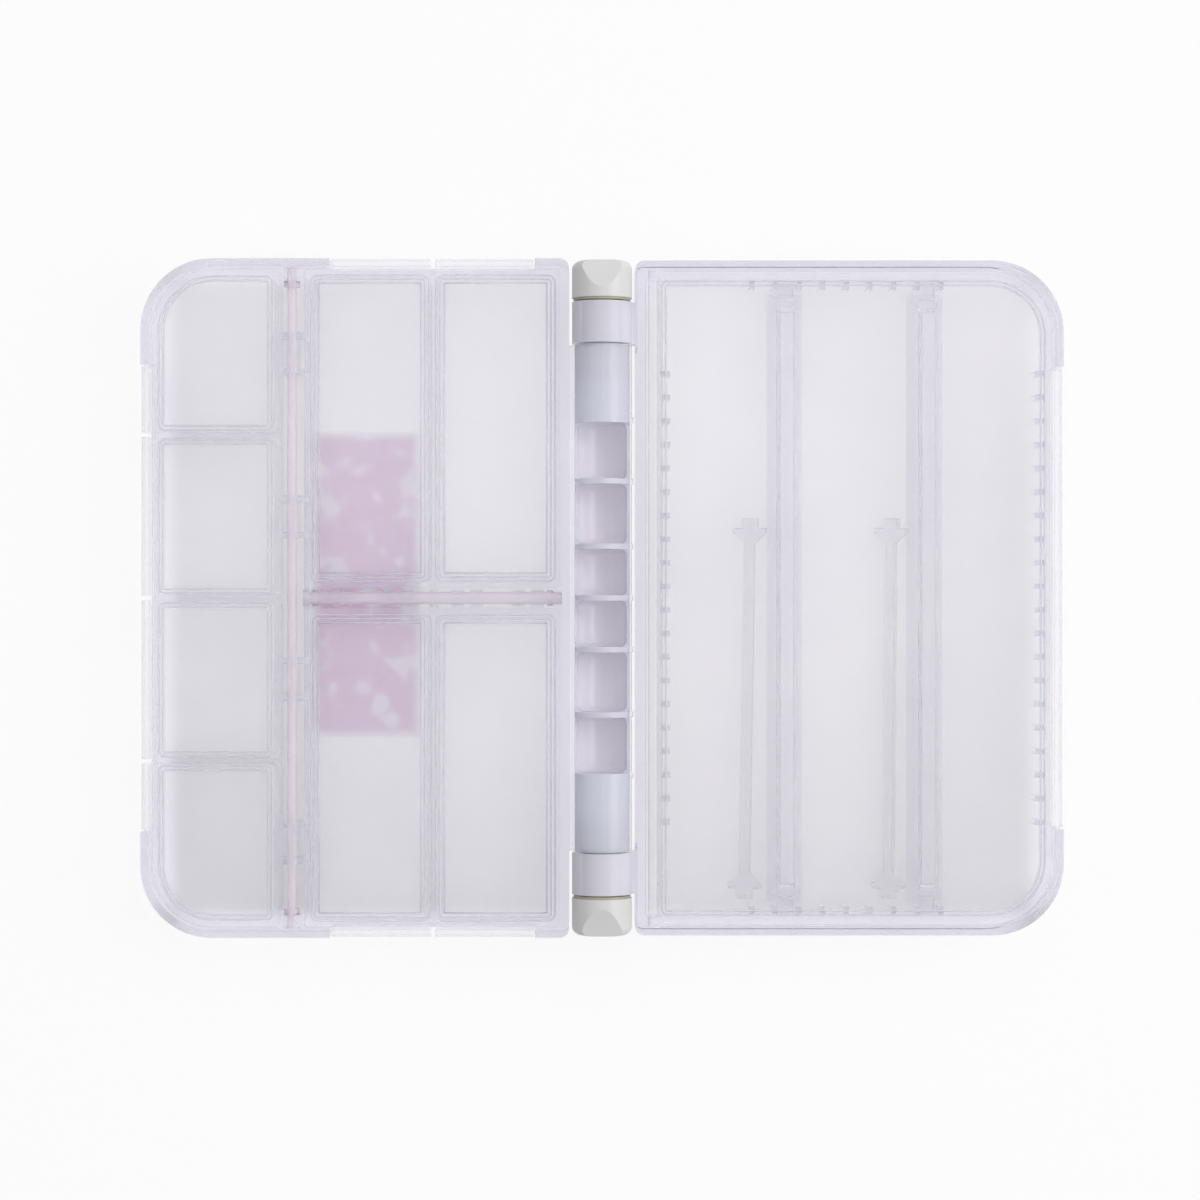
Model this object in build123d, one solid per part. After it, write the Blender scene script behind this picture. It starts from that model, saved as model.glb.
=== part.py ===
from build123d import *
import os

# A flat case for small tackle, lying open on a table with its inner faces up. The two halves turn
# about a round spine, which also holds a drum of six little cells that the end knobs turn.
# Millimetres. X runs across the open case, Y along the spine, Z up from the table.
# The spine's axis is at X 0 and at the height half_depth, where the halves part when closed.

# The two halves
half_depth = 16.0
half_reach = 97.0
left_length = 142.8
right_length = 141.8
corner_radius = 15.1
spine_corner_radius = 2.0
foot_radius = 1.6
rim_gap = 0.3
rim_wall = 1.7
spine_rim_wall = 1.5
floor_thickness = 1.3
side_wall = 1.4
partition = 1.4
cell_corner_radius = 1.6
cell_floor_radius = 1.1
body_gap = 0.3
cut_over = 1.0

# Lids, their finger tabs and catches
lid_thickness = 1.2
lid_sink = 0.2
lid_ledge = 0.1
lid_corner_radius = 0.8
lid_split = 0.9
rib_thickness = 1.0
rib_depth = 1.2
notch_depth = 1.9
tab_thickness = 1.3
tab_drop = 6.0
small_tab_reach = 48.8
long_tab_outer = 57.0
long_tab_inner = 14.4
big_tab_reach = 48.3
catch_bead = 0.35
catch_ridge = 0.2
catch_height = 0.8
catch_gap = 0.5

# Hinge rods of the small and long lids, snapped into eyes that are open on top
small_rod_radius = 1.0
long_rod_radius = 1.3
eye_opening = 0.75
rod_play = 0.05
rod_seat = 0.02
knuckle_radius = 1.8
small_knuckle = 5.9
long_knuckle = 2.6
long_knuckle_offsets = (-8.4, 4.4)
small_rod_offset = 65.3
small_lid_setback = 2.55
long_lid_setback = 2.15
carrier_thickness = 1.2
end_boss_depth = 1.5
ring_radius = 1.7
ring_thickness = 1.2

# Spine: barrel, collars, drum and knobs
spine_clearance = 6.95
barrel_radius = 6.3
drum_radius = 5.75
drum_play = 0.05
drum_wall = 0.55
barrel_rib = 0.3
cell_walls = (-37.25, -24.4, -10.8, 0.0, 10.8, 24.4, 37.25)
cell_wall_thickness = 1.1
drum_cell_radius = 1.3
web_depth = 5.4
cradle_wrap = 1.2
collar_length = 8.7
stem_radius = 4.0
key_side = 5.0
key_length = 6.0
key_play = 0.04
washer_thickness = 0.5
washer_inset = 0.3
washer_gap = 0.3
knob_length = 7.8
knob_inset = 0.25
knob_end_radius = 1.8
flat_length = 5.8
flat_drop = 2.1

# Right half: frosted lid, combs and dividers
pivot_offset = 10.8
pivot_bead_radius = 1.1
pivot_radius = 0.9
pivot_length = 2.0
hinge_wall = 2.35
hinge_channel = 2.1
comb_wall = 0.9
comb_pitch = 5.0
comb_tooth = 1.1
comb_depth = 2.1
end_comb_depth = 1.9
side_teeth = 20
end_teeth = 9
end_comb_centre = 51.7
right_end_wall = 3.8
comb_drop = 1.35
divider_slots = (-2.5, 3.5)
long_divider_base = 7.8
long_divider_top = 4.6
long_divider_slope = 3.8
long_divider_shell = 1.0
divider_nub = 3.3
short_divider_stem = 2.2
short_divider_head = 7.0
short_divider_head_depth = 1.6
short_divider_flare = 2.4
short_divider_height = 9.2
short_divider_rest = 3.4
first_short_divider_lay = 4.4
second_short_divider_lay = 4.15
first_short_divider_turn = -0.9
second_short_divider_turn = -0.5
divider_play = 0.4

# Label in a shallow pocket under the left half
label_size = (23.0, 65.6)
label_centre = (-50.6, 2.9)
label_radius = 2.0
label_thickness = 0.3
label_recess = 0.4
label_margin = 0.2

# Heights that follow from the sizes above
spine_z = half_depth
rim_top = half_depth - rim_gap / 2
rod_z = rim_top - knuckle_radius
lid_top = rod_z - lid_sink
lid_under = lid_top - lid_thickness
wall_top = lid_under - body_gap
comb_top = wall_top - comb_drop

# Lines that the left half's parts share
left_half = left_length / 2
notch_x = -half_reach + notch_depth
notch_y = left_half - notch_depth
small_rod_x = -small_rod_offset
small_channel = small_lid_setback - lid_ledge
long_channel = long_lid_setback - lid_ledge
inner_outer_x = notch_x + side_wall
inner_end_y = notch_y - side_wall
small_cells_x = (inner_outer_x, small_rod_x - small_channel - partition)
long_cells_x = (small_rod_x + small_channel + partition, -spine_clearance - spine_rim_wall - side_wall)
lid_outer_x = -half_reach + rim_wall + body_gap
lid_end_y = left_half - rim_wall - body_gap
lid_spine_x = -spine_clearance - spine_rim_wall - body_gap
knob_end = right_length / 2 - knob_inset
knob_start = knob_end - knob_length
collar_end = knob_start - washer_thickness - washer_gap
barrel_half_length = collar_end - collar_length - body_gap
small_pitch = (2 * inner_end_y + partition) / 4
column_middle = (long_cells_x[0] + long_cells_x[1]) / 2


def plate(x0, x1, y0, y1, z0, z1, radii=(0, 0, 0, 0)):
    """A flat block; the radii are those of its upright edges, anticlockwise from the low X, low Y one."""
    face = Pos((x0 + x1) / 2, (y0 + y1) / 2, z0) * Rectangle(x1 - x0, y1 - y0)
    corners = ((x0, y0, z0), (x1, y0, z0), (x1, y1, z0), (x0, y1, z0))
    for corner, radius in zip(corners, radii):
        if radius:
            face = fillet(face.vertices().sort_by_distance(corner)[0], radius)
    return extrude(face, z1 - z0, dir=(0, 0, 1))


def bar(start, end, radius):
    """A round bar between two points."""
    axis = Vector(*end) - Vector(*start)
    return extrude(Plane(origin=start, z_dir=axis) * Circle(radius), axis.length)


def round_foot(block, radius):
    """Rounds the lowest edges of a block."""
    return fillet(block.faces().sort_by(Axis.Z)[0].edges(), radius)


def cell(x0, x1, y0, y1, radii):
    """The hollow of one compartment, with a rounded floor."""
    return round_foot(plate(x0, x1, y0, y1, floor_thickness, half_depth, radii), cell_floor_radius)


def small_cell_y(number):
    """Low and high Y of a small compartment, counted from the top of the case."""
    high = inner_end_y - number * small_pitch
    return high - small_pitch + partition, high


def long_cell_box(column, row):
    """X and Y ranges of a long compartment; column 0 is the outer one, row 0 the upper one."""
    half_wall = partition / 2
    x0, x1 = long_cells_x
    x0, x1 = ((x0, column_middle - half_wall), (column_middle + half_wall, x1))[column]
    y0, y1 = long_channel + partition, inner_end_y
    return (x0, x1, y0, y1) if row == 0 else (x0, x1, -y1, -y0)


def outer_corner_radii(number, big, small):
    """Corner radii of a small cell or lid: the first and the last one have the case's round corner."""
    return (big if number == 3 else small, small, small, big if number == 0 else small)


def rod_web(x0, x1, y0, y1):
    """A wall across a hinge channel up to the top of the compartment walls."""
    return plate(x0, x1, y0, y1, 0, wall_top)


def carrier(axis_point, along, thickness):
    """The round-topped eye of a rod carrier, standing on the walls, before its bore is cut."""
    x, y = axis_point
    dx, dy = (thickness / 2, 0) if along == "x" else (0, thickness / 2)
    eye = bar((x - dx, y - dy, rod_z), (x + dx, y + dy, rod_z), knuckle_radius)
    wide = knuckle_radius
    sx, sy = (dx, wide) if along == "x" else (wide, dy)
    return eye + plate(x - sx, x + sx, y - sy, y + sy, floor_thickness, rod_z)


def small_lid_y(number):
    """Low and high Y of a small lid."""
    low, high = small_cell_y(number)
    half_split = (partition - lid_split) / 2
    low = -lid_end_y if number == 3 else low - half_split
    high = lid_end_y if number == 0 else high + half_split
    return low, high


def small_knuckle_y(number):
    """Middle of a small lid's knuckle."""
    low, high = small_cell_y(number)
    return (low + high) / 2


def long_lid_x(column):
    """Low and high X of a long lid."""
    split = lid_split / 2
    ends = (small_rod_x + small_lid_setback, column_middle - split, column_middle + split, lid_spine_x)
    return ends[2 * column], ends[2 * column + 1]


def long_knuckle_x(column, row):
    """Middles of the two knuckles; the lower lids are the upper ones turned half round."""
    low, high = long_lid_x(column)
    turn = 1 if row == 0 else -1
    return [(low + high) / 2 + turn * offset for offset in long_knuckle_offsets]


def catch_ridge_z():
    """Low and high Z of the ridge that a lid's bead snaps under."""
    low = lid_top - tab_drop + catch_gap + catch_height + catch_gap
    return low, low + catch_height


def notch_cuts():
    """The finger notches of the left half, with the catch ridges left standing on their walls."""
    reach = small_tab_reach + body_gap
    low_x, high_x = -long_tab_outer - body_gap, -long_tab_inner + body_gap
    top = rim_top + cut_over
    cuts = plate(-half_reach - cut_over, notch_x, -reach, reach, -cut_over, top)
    for side in (-1, 1):
        y0, y1 = sorted((side * notch_y, side * (left_half + cut_over)))
        cuts += plate(low_x, high_x, y0, y1, -cut_over, top)
    return cuts


def left_catches():
    """Catch ridges on the three notch walls of the left half."""
    z0, z1 = catch_ridge_z()
    reach = small_tab_reach - cut_over
    ridges = plate(notch_x - catch_ridge, notch_x + cut_over / 2, -reach, reach, z0, z1)
    for side in (-1, 1):
        y0, y1 = sorted((side * (notch_y - cut_over / 2), side * (notch_y + catch_ridge)))
        ridges += plate(-long_tab_outer + cut_over, -long_tab_inner - cut_over, y0, y1, z0, z1)
    return ridges


def left_carriers():
    """Carriers and end bosses of both hinge rods."""
    eyes = Part()
    offset = small_knuckle / 2 + body_gap + carrier_thickness / 2
    half = carrier_thickness / 2
    for number in range(4):
        for side in (-1, 1):
            y = small_knuckle_y(number) + side * offset
            eyes += rod_web(small_rod_x - small_channel, small_rod_x + small_channel, y - half, y + half)
            eyes += carrier((small_rod_x, y), "y", carrier_thickness)
    boss = end_boss_depth + side_wall
    for side in (-1, 1):
        eyes += carrier((small_rod_x, side * (notch_y - boss / 2)), "y", boss)
    x0, x1 = long_cells_x
    eyes += rod_web(column_middle - half, column_middle + half, -long_channel, long_channel)
    eyes += carrier((column_middle, 0), "x", carrier_thickness)
    eyes += carrier((x0 - partition / 2 + half / 2, 0), "x", partition + half)
    eyes += carrier((x1 + side_wall / 2 - half / 2, 0), "x", side_wall + half)
    return eyes


def small_rod(play):
    """The rod of the small lids, thicker by a play where it cuts a bore."""
    return bar((small_rod_x, -notch_y, rod_z), (small_rod_x, notch_y, rod_z), small_rod_radius + play)


def long_rod_ends():
    """Where the long lids' rod begins and ends, across the case."""
    return long_cells_x[0] - partition, long_cells_x[1] + side_wall


def long_rod(play):
    """The rod of the long lids, thicker by a play where it cuts a bore."""
    x0, x1 = long_rod_ends()
    return bar((x0, 0, rod_z), (x1, 0, rod_z), long_rod_radius + play)


def rod_openings():
    """The slots above both rods, through which they are snapped into their carriers."""
    top = half_depth + cut_over
    wide = small_rod_radius * eye_opening
    slots = plate(small_rod_x - wide, small_rod_x + wide, -notch_y, notch_y, rod_z, top)
    wide = long_rod_radius * eye_opening
    return slots + plate(*long_rod_ends(), -wide, wide, rod_z, top)


def spine_bar(y0, y1, radius):
    """A bar on the spine's axis."""
    return bar((0, y0, spine_z), (0, y1, spine_z), radius)


def cradle():
    """The left half's share of the spine: a ribbed trough that wraps just over half the drum, and its web."""
    reach = barrel_half_length
    low = spine_z - web_depth
    tube = spine_bar(-reach, reach, barrel_radius)
    tube += plate(-spine_clearance - side_wall / 2, -barrel_radius / 2, -reach, reach, low, rim_top)
    half = cell_wall_thickness / 2
    for y in cell_walls:
        tube += spine_bar(y - half, y + half, barrel_radius + barrel_rib)
    tube -= spine_bar(-reach - cut_over, reach + cut_over, drum_radius + drum_play)
    low, high, wide = spine_z + cradle_wrap, spine_z + barrel_radius + cut_over, barrel_radius + cut_over
    return tube - plate(-wide, wide, -reach - cut_over, reach + cut_over, low, high)


def label_pocket(margin, depth):
    """The block that the label's pocket, or the label itself, takes up."""
    half_x, half_y = label_size[0] / 2 + margin, label_size[1] / 2 + margin
    x, y = label_centre
    radii = (label_radius + margin,) * 4
    return plate(x - half_x, x + half_x, y - half_y, y + half_y, label_recess - depth, label_recess, radii)


def left_tray():
    """The left half: eight compartments, hinge channels and the cradle of the spine."""
    corners = (corner_radius, spine_corner_radius, spine_corner_radius, corner_radius)
    body = plate(-half_reach, -spine_clearance, -left_half, left_half, 0, rim_top, corners)
    body = round_foot(body, foot_radius) - notch_cuts() + left_catches()
    recess_radius = corner_radius - rim_wall
    radii = (recess_radius, lid_corner_radius, lid_corner_radius, recess_radius)
    end = left_half - rim_wall
    spine_x = -spine_clearance - spine_rim_wall
    body -= plate(-half_reach + rim_wall, spine_x, -end, end, wall_top, half_depth + cut_over, radii)
    inner_radius = corner_radius - notch_depth - side_wall
    for number in range(4):
        y0, y1 = small_cell_y(number)
        body -= cell(*small_cells_x, y0, y1, outer_corner_radii(number, inner_radius, cell_corner_radius))
    for column in range(2):
        for row in range(2):
            body -= cell(*long_cell_box(column, row), (cell_corner_radius,) * 4)
    high = half_depth
    x0, x1 = small_rod_x - small_channel, small_rod_x + small_channel
    body -= plate(x0, x1, -inner_end_y, inner_end_y, floor_thickness, high)
    body -= plate(*long_cells_x, -long_channel, long_channel, floor_thickness, high)
    body += left_carriers()
    body = body - small_rod(rod_seat) - long_rod(rod_seat) - rod_openings()
    body -= label_pocket(label_margin, label_recess + cut_over)
    return body + cradle()


def catch_on_tab(x0, x1, y0, y1):
    """The bead inside a tab, low on its skirt."""
    low = lid_top - tab_drop + catch_gap
    return plate(x0, x1, y0, y1, low, low + catch_height)


def rib_frame(x0, x1, y0, y1, radii):
    """The rib under a lid that drops into the mouth of its compartment."""
    outer = [radius - body_gap for radius in radii]
    inner = [max(radius - body_gap - rib_thickness, rib_thickness / 2) for radius in radii]
    gap, wide = body_gap, body_gap + rib_thickness
    low, high = lid_under - rib_depth, lid_under + lid_thickness / 2
    frame = plate(x0 + gap, x1 - gap, y0 + gap, y1 - gap, low, high, outer)
    return frame - plate(x0 + wide, x1 - wide, y0 + wide, y1 - wide, low - cut_over, lid_under, inner)


def knuckle(point, along, length, setback, towards, radius):
    """A lid's eye, with the arm that runs to the lid in the given direction, and the rod's space in it."""
    x, y = point
    dx, dy = (length / 2, 0) if along == "x" else (0, length / 2)
    eye = bar((x - dx, y - dy, rod_z), (x + dx, y + dy, rod_z), knuckle_radius)
    reach = setback + lid_thickness / 2
    ends_x = sorted((x, x + towards[0] * reach)) if along == "y" else (x - dx, x + dx)
    ends_y = sorted((y, y + towards[1] * reach)) if along == "x" else (y - dy, y + dy)
    eye += plate(*ends_x, *ends_y, lid_under, lid_top)
    over = cut_over
    ox, oy = (over, 0) if along == "x" else (0, over)
    start = (x - dx - ox, y - dy - oy, rod_z)
    end = (x + dx + ox, y + dy + oy, rod_z)
    wide = radius * eye_opening
    wx, wy = (dx + over, wide) if along == "x" else (wide, dy + over)
    slot = plate(x - wx, x + wx, y - wy, y + wy, rod_z, half_depth + cut_over)
    return eye, bar(start, end, radius + rod_play) + slot


def small_lid(number):
    """One small lid: panel, locating rib, finger tab with its bead, and one knuckle."""
    y0, y1 = small_lid_y(number)
    cell_y = small_cell_y(number)
    panel_radius = corner_radius - rim_wall - body_gap
    radii = outer_corner_radii(number, panel_radius, lid_corner_radius)
    lid = plate(lid_outer_x, small_rod_x - small_lid_setback, y0, y1, lid_under, lid_top, radii)
    inner_radius = corner_radius - notch_depth - side_wall
    lid += rib_frame(*small_cells_x, *cell_y, outer_corner_radii(number, inner_radius, cell_corner_radius))
    t0, t1 = max(y0, -small_tab_reach), min(y1, small_tab_reach)
    skirt_x = -half_reach + tab_thickness
    lid += plate(-half_reach, lid_outer_x + partition, t0, t1, lid_under, lid_top)
    lid += plate(-half_reach, skirt_x, t0, t1, lid_top - tab_drop, lid_top)
    lid += catch_on_tab(skirt_x - tab_thickness / 2, skirt_x + catch_bead, t0 + cut_over, t1 - cut_over)
    point = (small_rod_x, small_knuckle_y(number))
    eye, bore = knuckle(point, "y", small_knuckle, small_lid_setback, (-1, 0), small_rod_radius)
    return lid + eye - bore


def long_lid(column, row):
    """One long lid: panel, locating rib, finger tab with its bead, and two knuckles."""
    side = 1 if row == 0 else -1
    x0, x1 = long_lid_x(column)
    y0, y1 = sorted((side * long_lid_setback, side * lid_end_y))
    lid = plate(x0, x1, y0, y1, lid_under, lid_top, (lid_corner_radius,) * 4)
    lid += rib_frame(*long_cell_box(column, row), (cell_corner_radius,) * 4)
    t0, t1 = max(x0, -long_tab_outer), min(x1, -long_tab_inner)
    skirt_y = left_half - tab_thickness
    for low, z0, z1 in ((lid_end_y - partition, lid_under, lid_top), (skirt_y, lid_top - tab_drop, lid_top)):
        b0, b1 = sorted((side * low, side * left_half))
        lid += plate(t0, t1, b0, b1, z0, z1)
    b0, b1 = sorted((side * (skirt_y - catch_bead), side * (skirt_y + tab_thickness / 2)))
    lid += catch_on_tab(t0 + cut_over, t1 - cut_over, b0, b1)
    for x in long_knuckle_x(column, row):
        eye, bore = knuckle((x, 0), "x", long_knuckle, long_lid_setback, (0, side), long_rod_radius)
        lid = lid + eye - bore
    return lid


def rod_end_rings():
    """The four rings pushed on the rods' ends, each against the inner face of an end carrier."""
    near = notch_y - end_boss_depth - side_wall
    far = near - ring_thickness
    x0, x1 = long_cells_x[0] + carrier_thickness / 2, long_cells_x[1] - carrier_thickness / 2
    spans = [((small_rod_x, side * near), (small_rod_x, side * far)) for side in (-1, 1)]
    spans += [((x0, 0), (x0 + ring_thickness, 0)), ((x1 - ring_thickness, 0), (x1, 0))]
    rings = [bar((*start, rod_z), (*end, rod_z), ring_radius) for start, end in spans]
    return [ring - small_rod(rod_seat) - long_rod(rod_seat) for ring in rings]


def right_lines():
    """Lines across the right half: hinge wall, channel, comb wall and the outer wall's faces."""
    wall = spine_clearance + hinge_wall
    channel = wall + hinge_channel
    comb = channel + comb_wall
    notch = half_reach - notch_depth
    return wall, channel, comb, notch - side_wall, notch


def comb_teeth():
    """The teeth on the four walls of the right half."""
    _, _, low_x, high_x, _ = right_lines()
    end_y = right_length / 2 - right_end_wall
    half, sink = comb_tooth / 2, comb_wall / 2
    teeth = Part()
    for index in range(side_teeth):
        y = (index - (side_teeth - 1) / 2) * comb_pitch
        teeth += plate(low_x - sink, low_x + comb_depth, y - half, y + half, floor_thickness / 2, comb_top)
        teeth += plate(high_x - comb_depth, high_x + sink, y - half, y + half, floor_thickness / 2, comb_top)
    for index in range(end_teeth):
        x = end_comb_centre + (index - (end_teeth - 1) / 2) * comb_pitch
        for side in (-1, 1):
            y0, y1 = sorted((side * (end_y - end_comb_depth), side * (end_y + sink)))
            teeth += plate(x - half, x + half, y0, y1, floor_thickness / 2, comb_top)
    return teeth


def collar(side):
    """One hinge collar of the right half, with its web."""
    y0, y1 = sorted((side * (collar_end - collar_length), side * collar_end))
    low = spine_z - web_depth
    eye = spine_bar(y0, y1, barrel_radius)
    eye += plate(barrel_radius / 2, spine_clearance + hinge_wall / 2, y0, y1, low, rim_top)
    return eye - spine_bar(y0 - cut_over, y1 + cut_over, stem_radius + drum_play)


def pivot_y():
    """End of the big lid's bead, along the spine."""
    return right_length / 2 - right_end_wall - body_gap


def right_tray():
    """The right half: one wide tray with combs, pivot bosses and two collars."""
    wall, channel, comb, inner, notch = right_lines()
    half = right_length / 2
    corners = (spine_corner_radius, corner_radius, corner_radius, spine_corner_radius)
    body = plate(spine_clearance, half_reach, -half, half, 0, rim_top, corners)
    body = round_foot(body, foot_radius)
    reach = big_tab_reach + body_gap
    body -= plate(notch, half_reach + cut_over, -reach, reach, -cut_over, rim_top + cut_over)
    z0, z1 = catch_ridge_z()
    body += plate(notch - side_wall / 2, notch + catch_ridge, -big_tab_reach + cut_over,
                  big_tab_reach - cut_over, z0, z1)
    end = half - rim_wall
    end_y = half - right_end_wall
    recess_radius = corner_radius - rim_wall
    radii = (lid_corner_radius, recess_radius, recess_radius, lid_corner_radius)
    recess = plate(wall, half_reach - rim_wall, -end, end, wall_top, half_depth + cut_over, radii)
    boss_x = pivot_offset + knuckle_radius
    for side in (-1, 1):
        y0, y1 = sorted((side * end_y, side * (end + cut_over)))
        recess -= bar((pivot_offset, y0, rod_z), (pivot_offset, y1, rod_z), knuckle_radius)
        recess -= plate(wall - cut_over, boss_x, y0, y1, 0, rod_z)
    body -= recess
    inner_radius = corner_radius - notch_depth - side_wall
    radii = (cell_corner_radius, inner_radius, inner_radius, cell_corner_radius)
    body -= cell(comb, inner, -end_y, end_y, radii)
    body -= plate(wall, channel, -end_y, end_y, floor_thickness, half_depth)
    body += comb_teeth()
    socket = end_y + pivot_length
    body -= bar((pivot_offset, -socket, rod_z), (pivot_offset, socket, rod_z), pivot_radius + rod_play)
    return body + collar(-1) + collar(1)


def big_lid():
    """The frosted lid of the right half, with a round bead and a pivot at each end of its hinge side."""
    _, _, comb, inner, notch = right_lines()
    end_y = right_length / 2 - right_end_wall
    lid_y = right_length / 2 - rim_wall - body_gap
    lid_x = half_reach - rim_wall - body_gap
    panel_radius = corner_radius - rim_wall - body_gap
    radii = (0, panel_radius, panel_radius, 0)
    lid = plate(pivot_offset, lid_x, -lid_y, lid_y, lid_under, lid_top, radii)
    boss_x = pivot_offset + knuckle_radius + body_gap
    for side in (-1, 1):
        y0, y1 = sorted((side * pivot_y(), side * (lid_y + cut_over)))
        lid -= plate(pivot_offset - cut_over, boss_x, y0, y1, 0, half_depth)
    lid += bar((pivot_offset, -pivot_y(), rod_z), (pivot_offset, pivot_y(), rod_z), pivot_bead_radius)
    pin = pivot_y() + pivot_length
    lid += bar((pivot_offset, -pin, rod_z), (pivot_offset, pin, rod_z), pivot_radius)
    inner_radius = corner_radius - notch_depth - side_wall
    radii = (cell_corner_radius, inner_radius, inner_radius, cell_corner_radius)
    lid += rib_frame(comb, inner, -end_y, end_y, radii)
    skirt_x = half_reach - tab_thickness
    reach = big_tab_reach
    lid += plate(lid_x - partition, half_reach, -reach, reach, lid_under, lid_top)
    lid += plate(skirt_x, half_reach, -reach, reach, lid_top - tab_drop, lid_top)
    bead = reach - cut_over
    return lid + catch_on_tab(skirt_x - catch_bead, skirt_x + tab_thickness / 2, -bead, bead)


def pocket_drum():
    """The drum: plain journals at the ends, six open cells between, and a keyed socket in each end."""
    drum = spine_bar(-barrel_half_length, barrel_half_length, drum_radius)
    bore = drum_radius - drum_wall
    half = cell_wall_thickness / 2
    high = spine_z + drum_radius + cut_over
    for low_wall, high_wall in zip(cell_walls, cell_walls[1:]):
        y0, y1 = low_wall + half, high_wall - half
        hollow = spine_bar(y0, y1, bore)
        hollow = fillet(hollow.edges().filter_by(GeomType.CIRCLE), drum_cell_radius)
        drum -= hollow + plate(-drum_radius - cut_over, drum_radius + cut_over, y0, y1, spine_z, high)
    socket = key_side / 2 + key_play / 2
    for side in (-1, 1):
        deep = barrel_half_length - key_length - body_gap
        y0, y1 = sorted((side * deep, side * (barrel_half_length + cut_over)))
        drum -= plate(-socket, socket, y0, y1, spine_z - socket, spine_z + socket)
    return drum


def knob_flat(sign):
    """The wedge that cuts one slanted grip flat into a knob's cap, above or below the axis."""
    slope = flat_drop / flat_length
    top = barrel_radius
    start = knob_end - flat_length
    far = knob_end + cut_over
    low, high = top - slope * (far - start), top + cut_over
    face = Plane.YZ * make_face(Polyline((start, top), (far, low), (far, high), (start, high), close=True))
    wedge = extrude(face, barrel_radius + cut_over, both=True)
    if sign < 0:
        wedge = mirror(wedge, about=Plane.XY)
    return Pos(0, 0, spine_z) * wedge


def knob():
    """The upper knob: cap with two grip flats, round stem through the collar, and square key."""
    cap = spine_bar(knob_start, knob_end, barrel_radius)
    cap = fillet(cap.edges().filter_by(GeomType.CIRCLE).sort_by(Axis.Y)[-1], knob_end_radius)
    cap = cap - knob_flat(1) - knob_flat(-1)
    stem = spine_bar(barrel_half_length, knob_start + knob_length / 2, stem_radius)
    side = key_side / 2
    deep = barrel_half_length - key_length
    key = plate(-side, side, deep, barrel_half_length + cut_over, spine_z - side, spine_z + side)
    return cap + stem + key


def washer():
    """The upper thin washer between collar and knob."""
    ring = spine_bar(knob_start - washer_thickness, knob_start, barrel_radius - washer_inset)
    bore = spine_bar(collar_end, knob_start + cut_over, stem_radius + rod_seat)
    return ring - bore


def trapezoid_block(x, base, top, half_length, slope, z0, z1):
    """A bar with sloping sides and ends."""
    low = Pos(x, 0, z0) * Rectangle(base, 2 * half_length)
    high = Pos(x, 0, z1) * Rectangle(top, 2 * (half_length - slope))
    return loft([low.face(), high.face()])


def long_divider(slot):
    """A long hollow divider that stands on the floor, its end nubs between two teeth at each end."""
    x = end_comb_centre + slot * comb_pitch
    end_y = right_length / 2 - right_end_wall
    shoulder = end_y - end_comb_depth - rod_play
    shell = long_divider_shell
    outer = trapezoid_block(x, long_divider_base, long_divider_top, shoulder, long_divider_slope,
                            floor_thickness, comb_top)
    hollow = trapezoid_block(x, long_divider_base - 2 * shell, long_divider_top - 2 * shell,
                             shoulder - shell, long_divider_slope, floor_thickness, comb_top - shell)
    nub_end = end_y - rod_play
    half = divider_nub / 2
    nub_low = floor_thickness + cell_floor_radius + body_gap
    nub_top = floor_thickness + short_divider_height / 2
    return outer + plate(x - half, x + half, -nub_end, nub_end, nub_low, nub_top) - hollow


def short_divider(slot, lay, turn):
    """A short divider lying loose beside a long one: slim stem, T-shaped head and nub at each end."""
    _, _, comb, inner, _ = right_lines()
    half = (inner - comb) / 2 - divider_play
    x = end_comb_centre + slot * comb_pitch - long_divider_base / 2 - lay
    y = half + short_divider_rest - right_length / 2 + right_end_wall
    nub, stem, head = divider_nub / 2, short_divider_stem / 2, short_divider_head / 2
    shoulder = half - comb_depth
    neck = shoulder - short_divider_head_depth / 2
    flare = neck - short_divider_flare
    quarter = [(nub, half), (nub, shoulder), (head, shoulder), (head, neck), (stem, flare)]
    right = quarter + [(px, -py) for px, py in reversed(quarter)]
    outline = right + [(-px, py) for px, py in reversed(right)]
    low = floor_thickness + body_gap
    wall = extrude(make_face(Polyline(*outline, close=True)), short_divider_height)
    return Pos(x, y, low) * Rot(0, 0, turn) * wall


def save(name, shape):
    """Writes one node."""
    export_step(shape, f"parts/{name}.step")


def build():
    """Writes every piece of the case."""
    os.makedirs("parts", exist_ok=True)
    save("left_tray", left_tray())
    for number in range(4):
        save(f"small_lid_{number + 1}", small_lid(number))
    for row in range(2):
        for column in range(2):
            save(f"long_lid_{2 * row + column + 1}", long_lid(column, row))
    save("small_lid_rod", small_rod(0))
    save("long_lid_rod", long_rod(0))
    save("rod_end_rings", Compound(children=[ring.solid() for ring in rod_end_rings()]))
    save("label_plate", label_pocket(0, label_thickness))
    save("right_tray", right_tray())
    save("big_lid", big_lid())
    for number, slot in enumerate(divider_slots):
        save(f"long_divider_{number + 1}", long_divider(slot))
    first, second = divider_slots
    save("short_divider_1", short_divider(first, first_short_divider_lay, first_short_divider_turn))
    save("short_divider_2", short_divider(second, second_short_divider_lay, second_short_divider_turn))
    save("pocket_drum", pocket_drum())
    save("top_knob", knob())
    save("bottom_knob", mirror(knob(), about=Plane.XZ))
    save("top_washer", washer())
    save("bottom_washer", mirror(washer(), about=Plane.XZ))


build()
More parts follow.
